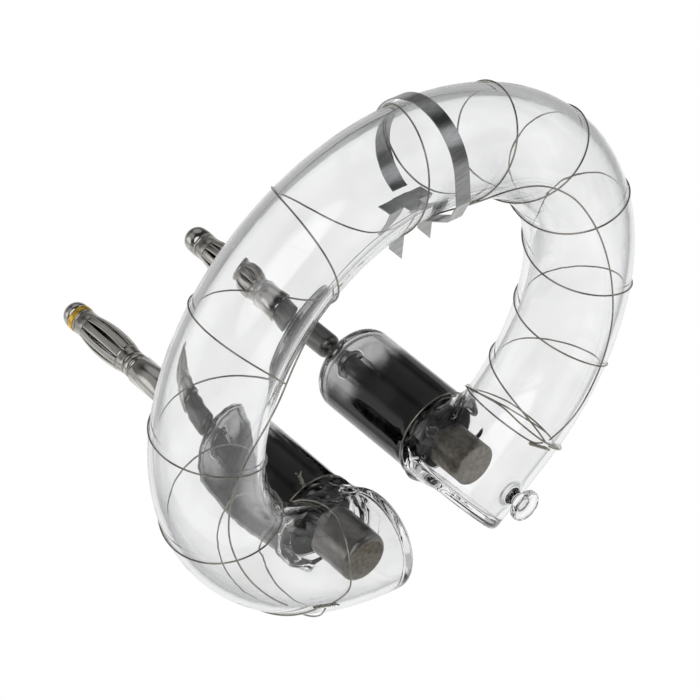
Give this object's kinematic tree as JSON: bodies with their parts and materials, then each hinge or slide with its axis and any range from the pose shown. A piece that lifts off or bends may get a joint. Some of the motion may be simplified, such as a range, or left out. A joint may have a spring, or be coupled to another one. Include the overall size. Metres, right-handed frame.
{
  "type": "horseshoe flash tube",
  "caption": "Clear glass discharge tube bent into a broken ring, with a wound trigger wire, two sealed rear arms and spring-cage plugs.",
  "frame": {"origin": "midway between the two plug axes, in the plane of the socket face where the plug sleeves end", "axes": "+Y along the plugs, the way they point into the socket; +Z from the plugs up to the ring's centre; +X from the left plug to the right one, seen from the ring's front"},
  "size_m": [0.0736, 0.0694, 0.0737],
  "materials": {
    "glass": "clear fused glass, polished",
    "sealing_glass": "graded sealing glass, slightly tinted",
    "anode_tungsten": "ground tungsten, dull sheen",
    "cathode_tungsten": "sintered tungsten, matt and porous",
    "tungsten_rod": "drawn tungsten rod",
    "nickel": "polished nickel plate",
    "spring_nickel": "nickel-plated spring strip",
    "dull_steel": "dull grey ferrule",
    "gold": "gold-coloured ring",
    "wire": "drawn nickel wire",
    "clip_steel": "thin rolled strip steel"
  },
  "bodies": {
    "root": {"discharge_tube": "glass", "left_end_cap": "glass", "right_end_cap": "glass", "exhaust_tip": "glass", "left_seal_tube": "glass", "right_seal_tube": "glass", "left_seal_bead": "sealing_glass", "right_seal_bead": "sealing_glass", "anode": "anode_tungsten", "cathode": "cathode_tungsten", "left_lead_rod": "tungsten_rod", "right_lead_rod": "tungsten_rod", "left_lead_pin": "nickel", "right_lead_pin": "nickel", "left_ferrule": "dull_steel", "right_ferrule": "dull_steel", "left_plug_body": "nickel", "right_plug_body": "nickel", "left_tip_cap": "nickel", "right_tip_cap": "nickel", "polarity_ring": "gold", "trigger_wire": "wire", "trigger_strand": "wire", "left_collar_wire": "wire", "right_collar_wire": "wire", "left_arm_tie": "wire", "right_arm_tie": "wire", "trigger_clip_band": "clip_steel", "trigger_clip_prongs": "clip_steel"},
    "left_cage": {"left_spring_cage": "spring_nickel"},
    "right_cage": {"right_spring_cage": "spring_nickel"}
  },
  "joints": [
    {"name": "left_cage_turn", "type": "hinge", "parent": "root", "child": "left_cage", "pos_m": [-0.0104, 0.0065, 0], "axis": [0, 1, 0], "continuous": true},
    {"name": "right_cage_turn", "type": "hinge", "parent": "root", "child": "right_cage", "pos_m": [0.0104, 0.0065, 0], "axis": [0, 1, 0], "continuous": true}
  ]
}
